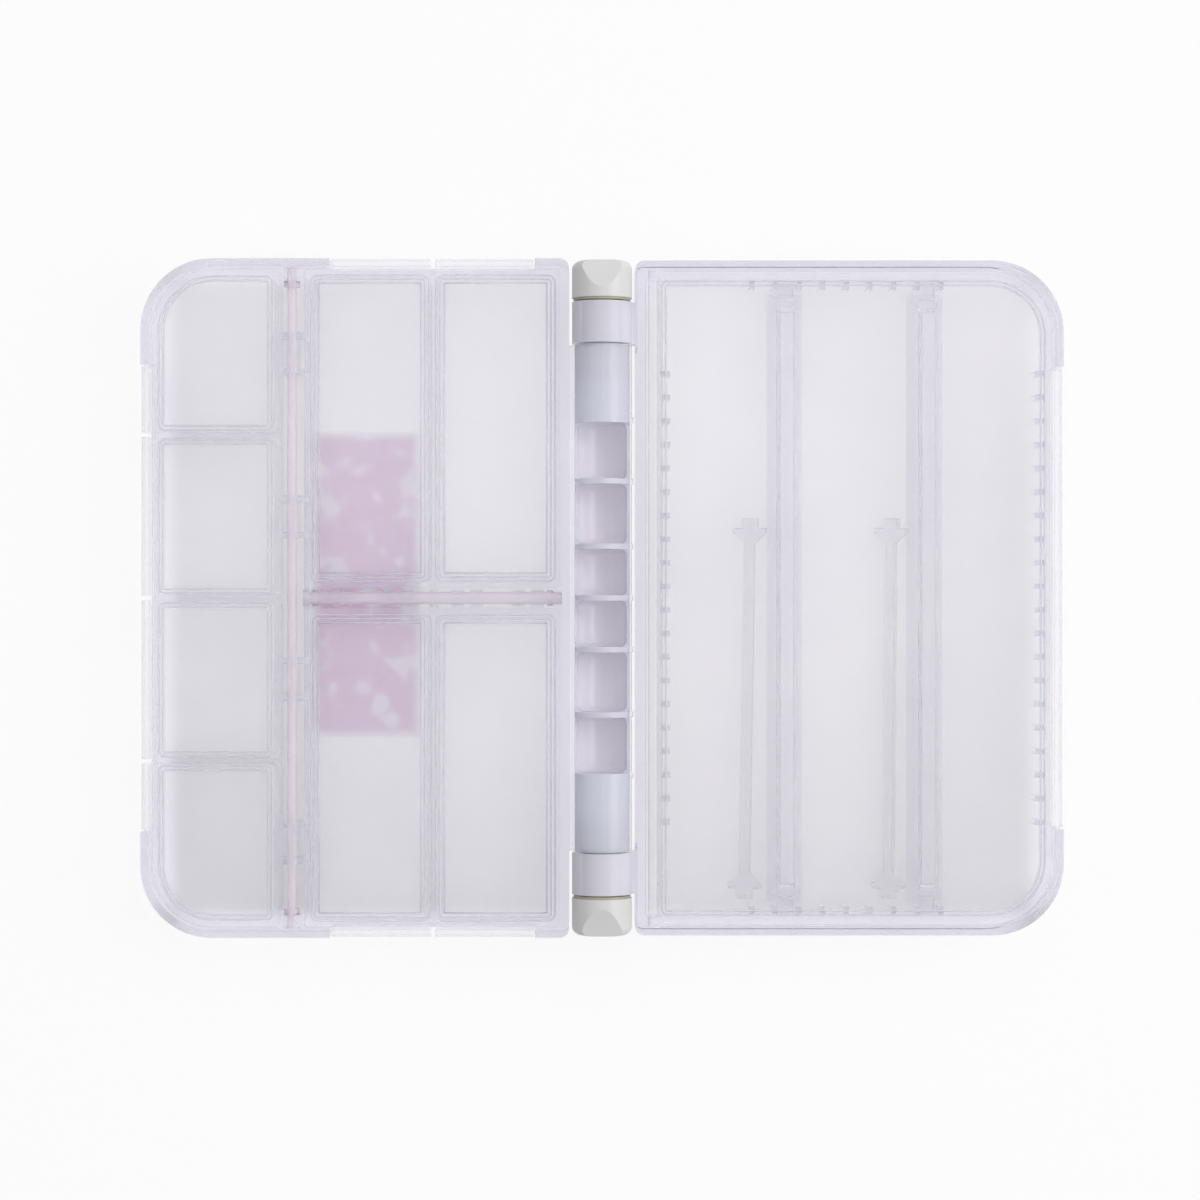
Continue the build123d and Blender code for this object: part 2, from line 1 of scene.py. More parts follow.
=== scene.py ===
import math
import bmesh
import bpy
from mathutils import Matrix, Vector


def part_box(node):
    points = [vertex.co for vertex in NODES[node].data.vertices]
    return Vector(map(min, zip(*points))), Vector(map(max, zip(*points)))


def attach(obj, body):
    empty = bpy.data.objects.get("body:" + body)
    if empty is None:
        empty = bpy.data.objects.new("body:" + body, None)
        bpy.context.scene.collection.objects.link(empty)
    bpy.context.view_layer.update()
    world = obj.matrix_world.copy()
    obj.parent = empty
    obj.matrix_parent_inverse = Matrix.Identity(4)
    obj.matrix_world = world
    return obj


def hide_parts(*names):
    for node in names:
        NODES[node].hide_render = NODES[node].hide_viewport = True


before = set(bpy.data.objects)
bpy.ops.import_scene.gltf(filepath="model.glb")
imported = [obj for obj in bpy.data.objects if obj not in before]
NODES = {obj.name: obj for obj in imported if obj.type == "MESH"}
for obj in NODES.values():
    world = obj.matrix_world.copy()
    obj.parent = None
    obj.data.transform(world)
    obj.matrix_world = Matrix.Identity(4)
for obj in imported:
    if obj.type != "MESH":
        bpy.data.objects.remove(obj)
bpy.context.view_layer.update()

# The table: a plain pale sheet of paper that the open case lies on. It shows white to the camera,
# in gloss and through the clear plastic, and keeps a faint shadow under the case. Seen through the
# case, inside its footprint, the paper's glow carries a painted shadow and a painted pool of light,
# brightest at one place and dimmer away from it.
PAPER_WHITE = (1.0, 1.0, 1.0, 1.0)
PAPER_BODY = (0.9, 0.9, 0.9, 1.0)
PAPER_HALF = 3.0
PAPER_DROP = 0.0004
PAPER_SHADOW_SHARE = 0.12
PAINTED_POOL_CENTRE = (0.008, 0.045, -PAPER_DROP)
PAINTED_POOL_REACH = 0.14
PAINTED_POOL_BRIGHTEST = 0.93
PAINTED_POOL_DIMMEST = 0.62
# Each pair is how far from the middle the painted shade under the case begins, and where it is full.
SPINE_SHADE = (0.0093, 0.0130)
SIDE_SHADE = (0.0945, 0.0900)
END_SHADE = (0.0700, 0.0655)


def feed(tree, socket, value):
    """Gives a socket a plain value, or joins it to another node's output."""
    if isinstance(value, bpy.types.NodeSocket):
        tree.links.new(value, socket)
    else:
        socket.default_value = value


def maths(tree, operation, *values):
    """One sum on values or sockets."""
    node = tree.nodes.new("ShaderNodeMath")
    node.operation = operation
    for socket, value in zip(node.inputs, values):
        feed(tree, socket, value)
    return node.outputs[0]


def ranged(tree, value, start, end, low=0.0, high=1.0, soft=False):
    """Runs from low to high while the value runs from start to end, softly at both ends if asked."""
    node = tree.nodes.new("ShaderNodeMapRange")
    node.interpolation_type = "SMOOTHSTEP" if soft else "LINEAR"
    settings = {"Value": value, "From Min": start, "From Max": end, "To Min": low, "To Max": high}
    for name, setting in settings.items():
        feed(tree, node.inputs[name], setting)
    return node.outputs["Result"]


def mixed(tree, factor, first, second):
    """From the first number to the second, by the factor."""
    node = tree.nodes.new("ShaderNodeMix")
    for socket, value in ((node.inputs["Factor"], factor), (node.inputs[2], first), (node.inputs[3], second)):
        feed(tree, socket, value)
    return node.outputs[0]


def object_place(tree):
    """The place on a piece, in its own coordinates."""
    return tree.nodes.new("ShaderNodeTexCoord").outputs["Object"]


def axes(tree, place):
    """The x, y and z of a place."""
    apart = tree.nodes.new("ShaderNodeSeparateXYZ")
    tree.links.new(place, apart.inputs[0])
    return apart.outputs[0], apart.outputs[1], apart.outputs[2]


def white_for_seeing(tree):
    """A factor that is 1 for camera, glossy and transmission rays."""
    ray = tree.nodes.new("ShaderNodeLightPath").outputs
    direct = maths(tree, "MAXIMUM", ray["Is Camera Ray"], ray["Is Glossy Ray"])
    return maths(tree, "MAXIMUM", direct, ray["Is Transmission Ray"])


def two_faced(tree, share, first, second, out):
    """Shows the second shader by that share, the first one by the rest."""
    mix = tree.nodes.new("ShaderNodeMixShader")
    tree.links.new(share, mix.inputs[0])
    tree.links.new(first.outputs[0], mix.inputs[1])
    tree.links.new(second.outputs[0], mix.inputs[2])
    tree.links.new(mix.outputs[0], out.inputs["Surface"])


paper = bpy.data.materials.new("paper")
paper.use_nodes = True
tree = paper.node_tree
tree.nodes.clear()
spot = object_place(tree)
# A painted pool of light: the glow is brightest at one place and dimmer away from it.
away = tree.nodes.new("ShaderNodeVectorMath")
away.operation = "DISTANCE"
away.inputs[1].default_value = PAINTED_POOL_CENTRE
tree.links.new(spot, away.inputs[0])
squared = maths(tree, "POWER", away.outputs["Value"], 2.0)
painted_pool = ranged(tree, squared, 0.0, PAINTED_POOL_REACH ** 2, PAINTED_POOL_BRIGHTEST, PAINTED_POOL_DIMMEST)
across, along, _ = axes(tree, spot)
# A painted shadow of the case: only for transmission rays, inside the case's footprint, where the glow falls
# to the painted pool.
under = tree.nodes.new("ShaderNodeLightPath").outputs["Is Transmission Ray"]
for side, shade in ((across, SPINE_SHADE), (across, SIDE_SHADE), (along, END_SHADE)):
    off_middle = maths(tree, "ABSOLUTE", side)
    under = maths(tree, "MULTIPLY", under, ranged(tree, off_middle, *shade, soft=True))
diffuse = tree.nodes.new("ShaderNodeBsdfDiffuse")
diffuse.inputs["Color"].default_value = PAPER_BODY
glow = tree.nodes.new("ShaderNodeEmission")
glow.inputs["Color"].default_value = PAPER_WHITE
tree.links.new(mixed(tree, under, 1.0, painted_pool), glow.inputs["Strength"])
seen = maths(tree, "MULTIPLY", white_for_seeing(tree), 1.0 - PAPER_SHADOW_SHARE)
two_faced(tree, seen, diffuse, glow, tree.nodes.new("ShaderNodeOutputMaterial"))
sheet = bpy.data.meshes.new("table_top")
corners = ((-1, -1), (1, -1), (1, 1), (-1, 1))
sheet.from_pydata([(x * PAPER_HALF, y * PAPER_HALF, -PAPER_DROP) for x, y in corners], [], [(0, 1, 2, 3)])
sheet.materials.append(paper)
table_top = bpy.data.objects.new("table_top", sheet)
bpy.context.scene.collection.objects.link(table_top)

# The room: an even pale surround, as the white walls of a small studio give. It fills the case
# with soft light, and is plain white where it is seen.
ROOM_FILL = (0.74, 0.75, 0.80, 1.0)
ROOM_STRENGTH = 0.55
world = bpy.data.worlds.new("room")
world.use_nodes = True
bpy.context.scene.world = world
tree = world.node_tree
tree.nodes.clear()
fill = tree.nodes.new("ShaderNodeBackground")
fill.inputs["Color"].default_value = ROOM_FILL
fill.inputs["Strength"].default_value = ROOM_STRENGTH
white = tree.nodes.new("ShaderNodeBackground")
white.inputs["Color"].default_value = PAPER_WHITE
two_faced(tree, white_for_seeing(tree), fill, white, tree.nodes.new("ShaderNodeOutputWorld"))

# The lamps: a broad key from the right, a weaker one from above the head of the picture and a
# low fill from the left, all large, so that the case has no hard shadow. Each row is a lamp's
# name, its place, its side and its power in watts.
LAMPS = (
    ("key_lamp", (1.05, 0.15, 0.85), 0.9, 10.0),
    ("top_lamp", (0.15, 0.9, 1.1), 0.9, 3.6),
    ("fill_lamp", (-0.9, -0.2, 0.9), 0.8, 1.4),
)
for name, place, side, power in LAMPS:
    lamp = bpy.data.lights.new(name, "AREA")
    lamp.shape = "SQUARE"
    lamp.size = side
    lamp.energy = power
    holder = bpy.data.objects.new(name, lamp)
    holder.location = place
    aim = -holder.location
    holder.rotation_euler = aim.to_track_quat("-Z", "Y").to_euler()
    bpy.context.scene.collection.objects.link(holder)

# The camera hangs straight above the case. A photograph pixel is 0.21 mm at the height of the
# rims, so the 1200 pixels of the frame are 252 mm there, from 650 mm away.
PIXEL = 0.00021
FRAME_PIXELS = 1200
RIM_HEIGHT = 0.016
CAMERA_RISE = 0.650
CAMERA_XY = (-0.00042, -0.00042)
SENSOR_MM = 36.0
eye = bpy.data.cameras.new("camera")
eye.sensor_width = SENSOR_MM
eye.lens = SENSOR_MM * CAMERA_RISE / (PIXEL * FRAME_PIXELS)
camera = bpy.data.objects.new("camera", eye)
camera.location = (*CAMERA_XY, RIM_HEIGHT + CAMERA_RISE)
bpy.context.scene.collection.objects.link(camera)
bpy.context.scene.camera = camera
bpy.context.scene.view_settings.view_transform = "Standard"

# The left tray: a shallow compartment tray moulded in milky polypropylene. Thin walls let the
# table through, and the thick rims turn lilac. Faint clouds and flow lines and a fine matt skin
# break up the surface.
CLOUD_SCALE = 26.0
CLOUD_DETAIL = 5.0
CLOUD_ROUGHNESS = 0.55
FLOW_SCALE = 90.0
FLOW_DETAIL = 3.0
FLOW_SWIRL = 1.5
FLOW_STRETCH = (0.35, 1.0, 1.0)
FLOW_SHARE = 0.3
CLOUD_DEEP_AT = 0.32
CLOUD_PALE_AT = 0.68
SMOOTHEST_SHARE = 0.85
ROUGHEST_SHARE = 1.2
GRAIN_SCALE = 2600.0
GRAIN_DETAIL = 2.0
GRAIN_STRENGTH = 0.08
GRAIN_HEIGHT = 0.00004
GLOSS_WEIGHT = 0.35
GLOSS_ROUGHNESS = 0.14
GLOSS_BEND = 1.45
TRAY_PALE = (0.955, 0.947, 0.972)
TRAY_DEEP = (0.915, 0.908, 0.948)
TRAY_DEPTHS = (0.785, 0.778, 0.858)
TRAY_CLEAR = 0.88
TRAY_ROUGH = 0.12


def noise(tree, place, scale, detail, roughness=0.5, swirl=0.0):
    """How strong a soft random pattern is at each place."""
    node = tree.nodes.new("ShaderNodeTexNoise")
    tree.links.new(place, node.inputs["Vector"])
    settings = {"Scale": scale, "Detail": detail, "Roughness": roughness, "Distortion": swirl}
    for name, setting in settings.items():
        node.inputs[name].default_value = setting
    return node.outputs["Fac"]


def milky_plastic(name, pale, deep, clear, rough, depth_tint=(0.785, 0.778, 0.875), depth=62.0, bend=1.06):
    """Milky moulded plastic: two cloud tints, how clear and how rough it is, its tint in depth,
    how strong that tint is and how far the plastic bends light."""
    made = bpy.data.materials.new(name)
    made.use_nodes = True
    tree = made.node_tree
    link = tree.links.new
    body = tree.nodes["Principled BSDF"]
    place = object_place(tree)
    clouds = noise(tree, place, CLOUD_SCALE, CLOUD_DETAIL, CLOUD_ROUGHNESS)
    stretch = tree.nodes.new("ShaderNodeMapping")
    stretch.inputs["Scale"].default_value = FLOW_STRETCH
    link(place, stretch.inputs["Vector"])
    flow = noise(tree, stretch.outputs["Vector"], FLOW_SCALE, FLOW_DETAIL, swirl=FLOW_SWIRL)
    ramp = tree.nodes.new("ShaderNodeValToRGB")
    for stop, at, colour in zip(ramp.color_ramp.elements, (CLOUD_DEEP_AT, CLOUD_PALE_AT), (deep, pale)):
        stop.position = at
        stop.color = (*colour, 1)
    link(mixed(tree, FLOW_SHARE, clouds, flow), ramp.inputs["Fac"])
    link(ramp.outputs["Color"], body.inputs["Base Color"])
    haze = ranged(tree, clouds, 0.0, 1.0, rough * SMOOTHEST_SHARE, rough * ROUGHEST_SHARE)
    link(haze, body.inputs["Roughness"])
    bump = tree.nodes.new("ShaderNodeBump")
    bump.inputs["Strength"].default_value = GRAIN_STRENGTH
    bump.inputs["Distance"].default_value = GRAIN_HEIGHT
    link(noise(tree, place, GRAIN_SCALE, GRAIN_DETAIL), bump.inputs["Height"])
    link(bump.outputs["Normal"], body.inputs["Normal"])
    body.inputs["Transmission Weight"].default_value = clear
    body.inputs["IOR"].default_value = bend
    body.inputs["Coat Weight"].default_value = GLOSS_WEIGHT
    body.inputs["Coat Roughness"].default_value = GLOSS_ROUGHNESS
    body.inputs["Coat IOR"].default_value = GLOSS_BEND
    if clear:
        inside = tree.nodes.new("ShaderNodeVolumeAbsorption")
        inside.inputs["Color"].default_value = (*depth_tint, 1)
        inside.inputs["Density"].default_value = depth
        link(inside.outputs["Volume"], tree.nodes["Material Output"].inputs["Volume"])
    return made


def dress(material, *names):
    """Gives CAD nodes a material."""
    for name in names:
        mesh = NODES[name].data
        mesh.materials.clear()
        mesh.materials.append(material)


tray_plastic = milky_plastic("milky_tray", TRAY_PALE, TRAY_DEEP, TRAY_CLEAR, TRAY_ROUGH,
                             depth_tint=TRAY_DEPTHS, depth=46.0, bend=1.02)
dress(tray_plastic, "left_tray")

# The label: a printed pink film in a shallow pocket under the left tray's floor, seen through
# floor and lid. Its print is plain soft blotches that fade out at the edges.
LABEL_ROOM = 0.00006
LABEL_RADIUS = 0.002
LABEL_ARC_STEPS = 6
LABEL_FADE = 0.0022
LABEL_PINK = (0.79, 0.62, 0.79)
LABEL_ROSE = (0.84, 0.57, 0.75)
LABEL_PALE = (0.96, 0.92, 0.955)
LABEL_EDGE = (0.97, 0.955, 0.975)
BLOTCH_SCALE = 150.0
BLOTCH_DETAIL = 1.0
BLOTCH_RIM = 0.52
BLOTCH_HEART = 0.64
BLOTCH_STRENGTH = 0.8


def rounded_outline(low, high, radius, steps):
    """The outline of a rounded rectangle, anticlockwise."""
    corners = ((high[0] - radius, high[1] - radius, 0), (low[0] + radius, high[1] - radius, 90),
               (low[0] + radius, low[1] + radius, 180), (high[0] - radius, low[1] + radius, 270))
    points = []
    for x, y, start in corners:
        for step in range(steps + 1):
            turn = math.radians(start + 90 * step / steps)
            points.append((x + radius * math.cos(turn), y + radius * math.sin(turn)))
    return points


def flat_piece(name, outline, z0, z1):
    """A closed flat piece over an outline."""
    count = len(outline)
    points = [(x, y, z) for z in (z0, z1) for x, y in outline]
    sides = [(i, (i + 1) % count, count + (i + 1) % count, count + i) for i in range(count)]
    faces = [tuple(reversed(range(count))), tuple(range(count, 2 * count)), *sides]
    mesh = bpy.data.meshes.new(name)
    mesh.from_pydata(points, [], faces)
    piece = bpy.data.objects.new(name, mesh)
    bpy.context.scene.collection.objects.link(piece)
    return piece


def tinted(tree, factor, first, second):
    """From the first colour to the second, by the factor."""
    node = tree.nodes.new("ShaderNodeMix")
    node.data_type = "RGBA"
    for socket, value in ((node.inputs["Factor"], factor), (node.inputs[6], first), (node.inputs[7], second)):
        feed(tree, socket, value)
    return node.outputs[2]


def cloudy_colour(tree):
    """The colour that milky_plastic gave, to mix others into."""
    return next(node for node in tree.nodes if node.type == "VALTORGB").outputs["Color"]


def recolour(tree, colour):
    """Gives a plastic another colour."""
    tree.links.new(colour, tree.nodes["Principled BSDF"].inputs["Base Color"])


label_low, label_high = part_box("label_plate")
label = flat_piece("pink_label", rounded_outline(label_low, label_high, LABEL_RADIUS, LABEL_ARC_STEPS),
                   label_low[2] + LABEL_ROOM, label_high[2] - LABEL_ROOM)
label_film = milky_plastic("label_pink", LABEL_PINK, LABEL_ROSE, clear=0.9, rough=0.3)
tree = label_film.node_tree
centre = tree.nodes.new("ShaderNodeMapping")
centre.inputs["Location"].default_value = [-(a + b) / 2 for a, b in zip(label_low, label_high)]
tree.links.new(object_place(tree), centre.inputs["Vector"])
on_label = centre.outputs["Vector"]
margins = []
for axis, from_centre in enumerate(axes(tree, on_label)[:2]):
    half = (label_high[axis] - label_low[axis]) / 2
    margins.append(ranged(tree, maths(tree, "ABSOLUTE", from_centre), half, half - LABEL_FADE, soft=True))
inside_edge = maths(tree, "MULTIPLY", *margins)
blotches = ranged(tree, noise(tree, on_label, BLOTCH_SCALE, BLOTCH_DETAIL),
                  BLOTCH_RIM, BLOTCH_HEART, high=BLOTCH_STRENGTH, soft=True)
printed = tinted(tree, blotches, cloudy_colour(tree), (*LABEL_PALE, 1))
recolour(tree, tinted(tree, inside_edge, (*LABEL_EDGE, 1), printed))
label.data.materials.append(label_film)
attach(label, "left_half")
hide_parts("label_plate")

# The rods: two thin drawn rods of pinkish plastic that the small and the long lids turn on, each
# held in the tray's end walls and carriers by two rings pushed on its ends.
ROD_PALE = (0.92, 0.86, 0.91)
ROD_DEEP = (0.885, 0.83, 0.88)
rod_plastic = milky_plastic("pink_rod", ROD_PALE, ROD_DEEP, clear=0.7, rough=0.2)
dress(rod_plastic, "small_lid_rod", "long_lid_rod", "rod_end_rings")

# The small lids: four clear mouldings over the outer compartments, each hung on the upright rod by
# one open eye. Two fine raised lines run round each lid above the mouth of its compartment. The
# lines' darker, less clear plastic is painted shade along the compartment's edges.
LID_PALE = (0.975, 0.969, 0.983)
LID_DEEP = (0.945, 0.939, 0.964)
LINE_PALE = (0.90, 0.895, 0.94)
LINE_DEEP = (0.87, 0.865, 0.92)
SMALL_LIDS = [f"small_lid_{number}" for number in range(1, 5)]
SIDE_WALL = 0.0033
PARTITION = 0.0014
SMALL_CHANNEL = 0.00245
LID_BELOW_ROD = 0.0002
LINE_RADIUS = 0.0002
LINE_SINK = 0.00006
LINE_SIDES = 8
LINE_CORNER_STEPS = 12
SHARPEST_CORNER = 0.0003
AXIS_SLACK = 1e-6
SAME_POINT = 1e-7
CELL_RADIUS = 0.0016
OUTER_CELL_RADIUS = 0.0118
SMALL_LINE_INSETS = (0.0003, 0.0012)
SMALL_WIDE_CORNERS = {0: (-1.0, 1.0, 0.0), 3: (-1.0, -1.0, 0.0)}
NO_WIDE_CORNER = (0.0, 0.0, 0.0)
tray_low, tray_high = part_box("left_tray")
outer_x = tray_low[0] + SIDE_WALL
end_y = tray_high[1] - SIDE_WALL
rod_x, _, rod_z = [(low + high) / 2 for low, high in zip(*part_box("small_lid_rod"))]
lid_top = rod_z - LID_BELOW_ROD
small_cell_x = (outer_x, rod_x - SMALL_CHANNEL - PARTITION)
small_pitch = (2 * end_y + PARTITION) / len(SMALL_LIDS)
small_cell_length = small_pitch - PARTITION


def frame_line_tree(insets):
    """A node tree that sweeps a fine half-sunk line round a rounded rectangle, once for each inset."""
    tree = bpy.data.node_groups.new("frame_lines", "GeometryNodeTree")
    for name, kind in (("Centre", "NodeSocketVector"), ("Width", "NodeSocketFloat"),
                       ("Length", "NodeSocketFloat"), ("Corner Radius", "NodeSocketFloat"),
                       ("Wide Corner", "NodeSocketVector"), ("Wide Corner Radius", "NodeSocketFloat"),
                       ("Line Radius", "NodeSocketFloat"), ("Material", "NodeSocketMaterial")):
        tree.interface.new_socket(name=name, in_out="INPUT", socket_type=kind)
    tree.interface.new_socket(name="Geometry", in_out="OUTPUT", socket_type="NodeSocketGeometry")
    link = tree.links.new
    given = tree.nodes.new("NodeGroupInput")
    result = tree.nodes.new("NodeGroupOutput")
    joined = tree.nodes.new("GeometryNodeJoinGeometry")
    circle = tree.nodes.new("GeometryNodeCurvePrimitiveCircle")
    circle.inputs["Resolution"].default_value = LINE_SIDES
    link(given.outputs["Line Radius"], circle.inputs["Radius"])
    spot = tree.nodes.new("GeometryNodeInputPosition")
    turned = tree.nodes.new("ShaderNodeVectorMath")
    turned.operation = "MULTIPLY"
    link(spot.outputs[0], turned.inputs[0])
    link(given.outputs["Wide Corner"], turned.inputs[1])
    across, along, _ = axes(tree, turned.outputs[0])
    at_wide_corner = maths(tree, "GREATER_THAN", maths(tree, "MINIMUM", across, along), -AXIS_SLACK)
    for inset in insets:
        box = tree.nodes.new("GeometryNodeCurvePrimitiveQuadrilateral")
        link(maths(tree, "SUBTRACT", given.outputs["Width"], 2 * inset), box.inputs["Width"])
        link(maths(tree, "SUBTRACT", given.outputs["Length"], 2 * inset), box.inputs["Height"])
        narrow = maths(tree, "SUBTRACT", given.outputs["Corner Radius"], inset)
        small = maths(tree, "MAXIMUM", narrow, SHARPEST_CORNER)
        wide = maths(tree, "SUBTRACT", given.outputs["Wide Corner Radius"], inset)
        extra = maths(tree, "MULTIPLY", at_wide_corner, maths(tree, "SUBTRACT", wide, small))
        rounding = tree.nodes.new("GeometryNodeFilletCurve")
        rounding.mode = "POLY"
        rounding.inputs["Count"].default_value = LINE_CORNER_STEPS
        rounding.inputs["Limit Radius"].default_value = True
        link(box.outputs[0], rounding.inputs["Curve"])
        link(maths(tree, "ADD", small, extra), rounding.inputs["Radius"])
        sweep = tree.nodes.new("GeometryNodeCurveToMesh")
        link(rounding.outputs[0], sweep.inputs["Curve"])
        link(circle.outputs[0], sweep.inputs["Profile Curve"])
        link(sweep.outputs[0], joined.inputs[0])
    moved = tree.nodes.new("GeometryNodeTransform")
    link(joined.outputs[0], moved.inputs["Geometry"])
    link(given.outputs["Centre"], moved.inputs["Translation"])
    real = tree.nodes.new("GeometryNodeRealizeInstances")
    link(moved.outputs[0], real.inputs[0])
    coloured = tree.nodes.new("GeometryNodeSetMaterial")
    link(real.outputs[0], coloured.inputs["Geometry"])
    link(given.outputs["Material"], coloured.inputs["Material"])
    link(coloured.outputs[0], result.inputs[0])
    return tree


def grown_piece(name, tree, values):
    """A plain mesh grown by a node tree from the given values, with its faces turned outwards."""
    piece = bpy.data.objects.new(name, bpy.data.meshes.new(name))
    bpy.context.scene.collection.objects.link(piece)
    growth = piece.modifiers.new("growth", "NODES")
    growth.node_group = tree
    for item in tree.interface.items_tree:
        if item.item_type == "SOCKET" and item.in_out == "INPUT":
            growth[item.identifier] = values[item.name]
    ready = piece.evaluated_get(bpy.context.evaluated_depsgraph_get())
    mesh = bpy.data.meshes.new_from_object(ready)
    piece.modifiers.clear()
    piece.data = mesh
    shape = bmesh.new()
    shape.from_mesh(mesh)
    bmesh.ops.remove_doubles(shape, verts=shape.verts, dist=SAME_POINT)
    bmesh.ops.recalc_face_normals(shape, faces=shape.faces)
    shape.to_mesh(mesh)
    shape.free()
    for face in mesh.polygons:
        face.use_smooth = True
    return piece


def frame_lines(name, tree, x, y, body, wide_corner=NO_WIDE_CORNER):
    """The fine lines on one lid, riding with it. The wide corner is the one that is rounded more."""
    lines = grown_piece(name, tree, {
        "Centre": ((x[0] + x[1]) / 2, (y[0] + y[1]) / 2, lid_top - LINE_SINK),
        "Width": x[1] - x[0], "Length": y[1] - y[0], "Corner Radius": CELL_RADIUS, "Wide Corner": wide_corner,
        "Wide Corner Radius": OUTER_CELL_RADIUS if any(wide_corner) else CELL_RADIUS,
        "Line Radius": LINE_RADIUS, "Material": shaded_line_plastic})
    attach(lines, body)


lid_plastic = milky_plastic("clear_lid", LID_PALE, LID_DEEP, clear=0.92, rough=0.13, depth=18.0)
# The fine lines on every lid are real raised lines, but they are tinted darker and made less clear than the
# lid. That tint is painted shade along the compartments' edges.
shaded_line_plastic = milky_plastic("lid_line", LINE_PALE, LINE_DEEP, clear=0.7, rough=0.15)
dress(lid_plastic, *SMALL_LIDS)
small_line_tree = frame_line_tree(SMALL_LINE_INSETS)
for index, name in enumerate(SMALL_LIDS):
    middle = ((len(SMALL_LIDS) - 1) / 2 - index) * small_pitch
    frame_lines(f"{name}_lines", small_line_tree, small_cell_x,
                (middle - small_cell_length / 2, middle + small_cell_length / 2),
                f"{name}_body", SMALL_WIDE_CORNERS.get(index, NO_WIDE_CORNER))

# The long lids: four clear mouldings in two columns, hung on the crosswise rod by two open eyes
# each, with three fine raised lines round each one.
LONG_LIDS = [f"long_lid_{number}" for number in range(1, 5)]
CROSS_CHANNEL = 0.00205
LONG_LID_LAP = 0.0011
LONG_LINE_INSETS = (0.0001, 0.0009, 0.00175)
first_long_x = rod_x + SMALL_CHANNEL + PARTITION
last_long_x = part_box("long_lid_2")[1][0] - LONG_LID_LAP
long_pitch = (last_long_x - first_long_x + PARTITION) / 2
long_cell_y = (CROSS_CHANNEL + PARTITION, end_y)
dress(lid_plastic, *LONG_LIDS)
long_line_tree = frame_line_tree(LONG_LINE_INSETS)
for index, name in enumerate(LONG_LIDS):
    side = 1 if index < 2 else -1
    start = first_long_x + index % 2 * long_pitch
    frame_lines(f"{name}_lines", long_line_tree, (start, start + long_pitch - PARTITION),
                sorted(side * y for y in long_cell_y), f"{name}_body")

# The drum: one bluish milky moulding in the spine, with six small cells between plain journals
# that turn in the left tray's two closed tubes. Its cells are more lilac, most of all deep down.
DRUM_PALE = (0.84, 0.85, 0.91)
DRUM_DEEP = (0.78, 0.79, 0.86)
CELLS_REACH = 0.0372
CELLS_FADE = 0.0008
CELLS_LILAC = (0.89, 0.855, 0.915)
CELLS_DEEP_Z = 0.0125
CELLS_PALE_Z = 0.0170
drum_plastic = milky_plastic("drum_blue", DRUM_PALE, DRUM_DEEP, clear=0.42, rough=0.2, depth=40.0)
tree = drum_plastic.node_tree
_, along, height = axes(tree, object_place(tree))
inside_cells = ranged(tree, maths(tree, "ABSOLUTE", along), CELLS_REACH, CELLS_REACH - CELLS_FADE)
deep_down = ranged(tree, height, CELLS_PALE_Z, CELLS_DEEP_Z)
in_cell = maths(tree, "MULTIPLY", inside_cells, deep_down)
recolour(tree, tinted(tree, in_cell, cloudy_colour(tree), (*CELLS_LILAC, 1)))
dress(drum_plastic, "pocket_drum")

# The knobs and washers: solid caps of cream plastic with two slanted grip flats, and thin amber
# washers that hold them off the collars. The knobs' stems are keyed into the drum.
KNOB_PALE = (0.752, 0.74, 0.716)
KNOB_DEEP = (0.697, 0.685, 0.67)
WASHER_PALE = (0.86, 0.82, 0.66)
WASHER_DEEP = (0.80, 0.75, 0.55)
knob_plastic = milky_plastic("knob_cream", KNOB_PALE, KNOB_DEEP, clear=0.0, rough=0.5)
dress(knob_plastic, "top_knob", "bottom_knob")
washer_amber = milky_plastic("washer_amber", WASHER_PALE, WASHER_DEEP, clear=0.5, rough=0.35)
dress(washer_amber, "top_washer", "bottom_washer")

# The right tray: one wide milky moulding with combs round its floor. Its two hinge collars are
# thick and clouded, so that the knobs' stems hardly show in them. The teeth's tops carry painted
# shade, a darker and less clear band that makes each tooth show dark from above.
COLLAR_X = 0.0072
COLLAR_Y = 0.0530
COLLAR_FADE = 0.0006
COLLAR_CLEAR = 0.3
COLLAR_LILAC = (0.83, 0.82, 0.88)
COMB_TOP = 0.0110
TOOTH_SHADE_REACH = 0.0004
TOOTH_CLEAR = 0.7
TOOTH_PAINTED_SHADE = (0.69, 0.69, 0.76)
right_plastic = milky_plastic("milky_right_tray", TRAY_PALE, TRAY_DEEP, TRAY_CLEAR, TRAY_ROUGH, depth=44.0)
tree = right_plastic.node_tree
across, along, height = axes(tree, object_place(tree))
past_side = ranged(tree, across, COLLAR_X, COLLAR_X + COLLAR_FADE)
past_end = ranged(tree, maths(tree, "ABSOLUTE", along), COLLAR_Y, COLLAR_Y - COLLAR_FADE)
past_collar = maths(tree, "MAXIMUM", past_side, past_end)
# Painted shade at the teeth's tops: a darker tint and less clearness in a thin band at the comb's top height.
off_top = maths(tree, "ABSOLUTE", maths(tree, "SUBTRACT", height, COMB_TOP))
tooth_top_shade = ranged(tree, off_top, TOOTH_SHADE_REACH, 0.0)
thin_and_thick = ranged(tree, past_collar, 0.0, 1.0, COLLAR_CLEAR, TRAY_CLEAR)
tree.links.new(mixed(tree, tooth_top_shade, thin_and_thick, TOOTH_CLEAR),
               tree.nodes["Principled BSDF"].inputs["Transmission Weight"])
collar_and_wall = tinted(tree, past_collar, (*COLLAR_LILAC, 1), cloudy_colour(tree))
recolour(tree, tinted(tree, tooth_top_shade, collar_and_wall, (*TOOTH_PAINTED_SHADE, 1)))
dress(right_plastic, "right_tray")

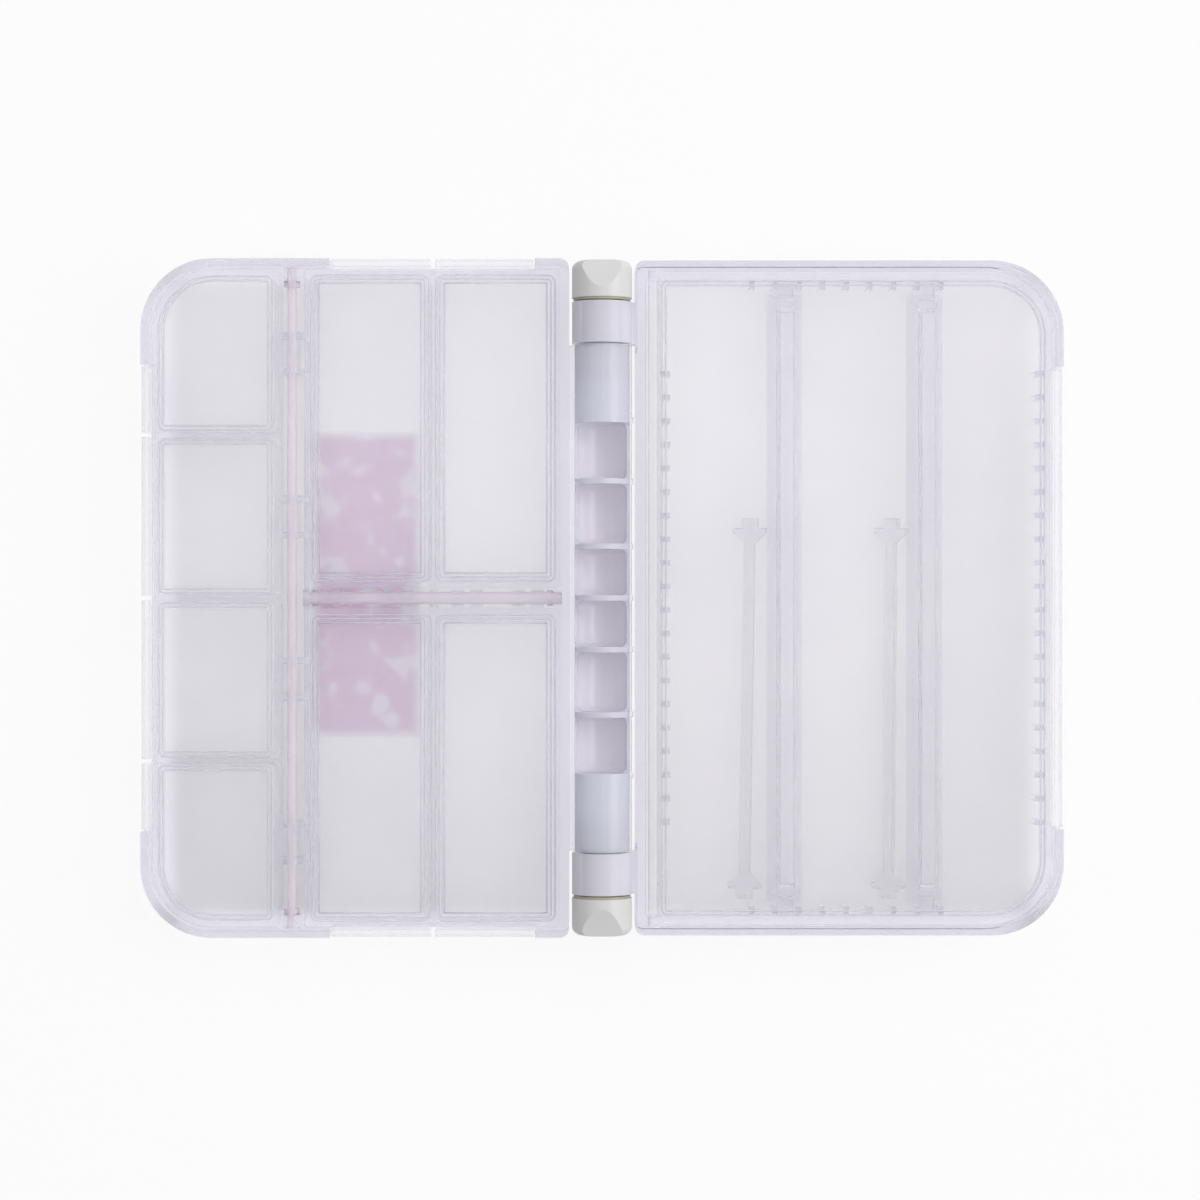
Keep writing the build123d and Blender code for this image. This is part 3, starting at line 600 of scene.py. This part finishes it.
# The long dividers: two bars of clouded plastic with sloping sides, moulded hollow and set between
# the combs' teeth. Their edges are softly rounded, and they stand a hair off the floor.
DIVIDER_PALE = (0.945, 0.945, 0.982)
DIVIDER_DEEP = (0.915, 0.917, 0.965)
FOOT_ROOM = 0.00003
LOOSE_CORNER = 1e-6
DIVIDER_EDGE = 0.00025
DIVIDER_EDGE_STEPS = 3
DIVIDER_BEND = math.radians(30.0)
divider_plastic = milky_plastic("clouded_divider", DIVIDER_PALE, DIVIDER_DEEP,
                                clear=0.95, rough=0.15, depth=10.0)
for number in (1, 2):
    node = f"long_divider_{number}"
    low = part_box(node)[0][2]
    shape = bmesh.new()
    shape.from_mesh(NODES[node].data)
    bmesh.ops.remove_doubles(shape, verts=shape.verts, dist=LOOSE_CORNER)
    for point in shape.verts:
        if point.co.z < low + FOOT_ROOM:
            point.co.z = low + FOOT_ROOM
    mesh = bpy.data.meshes.new(f"{node}_soft_edged")
    shape.to_mesh(mesh)
    shape.free()
    bar = bpy.data.objects.new(f"{node}_soft_edged", mesh)
    bpy.context.scene.collection.objects.link(bar)
    rounding = bar.modifiers.new("soft_edges", "BEVEL")
    rounding.width = DIVIDER_EDGE
    rounding.segments = DIVIDER_EDGE_STEPS
    rounding.limit_method = "ANGLE"
    rounding.angle_limit = DIVIDER_BEND
    mesh.materials.append(divider_plastic)
    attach(bar, "right_half")
    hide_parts(node)

# The short dividers: two loose flat walls of paler plastic, each moulded with a T-shaped head and
# a nub at its ends. They slide along the slots of the right tray's combs.
THIN_PALE = (0.965, 0.965, 0.988)
THIN_DEEP = (0.945, 0.946, 0.975)
thin_plastic = milky_plastic("thin_divider", THIN_PALE, THIN_DEEP, clear=0.97, rough=0.15, depth=12.0)
dress(thin_plastic, "short_divider_1", "short_divider_2")

# The big lid: one frosted moulding over the right tray, hung on two pivots of its own in the
# tray's ends, with a round bead along its hinge side and two fine raised lines round it.
FROST_PALE = (0.98, 0.974, 0.984)
FROST_DEEP = (0.955, 0.949, 0.968)
BIG_CELL_START_X = 0.0123
BIG_END_WALL = 0.0038
BIG_WIDE_SIDE = (1.0, 0.0, 0.0)
right_outer_x, right_end_y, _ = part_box("right_tray")[1]
big_cell_x = (BIG_CELL_START_X, right_outer_x - SIDE_WALL)
big_cell_y = (BIG_END_WALL - right_end_y, right_end_y - BIG_END_WALL)
frosted = milky_plastic("frosted_lid", FROST_PALE, FROST_DEEP, clear=0.91, rough=0.15, depth=18.0)
dress(frosted, "big_lid")
big_line_tree = frame_line_tree(SMALL_LINE_INSETS)
frame_lines("big_lid_lines", big_line_tree, big_cell_x, big_cell_y,
            "big_lid_body", BIG_WIDE_SIDE)
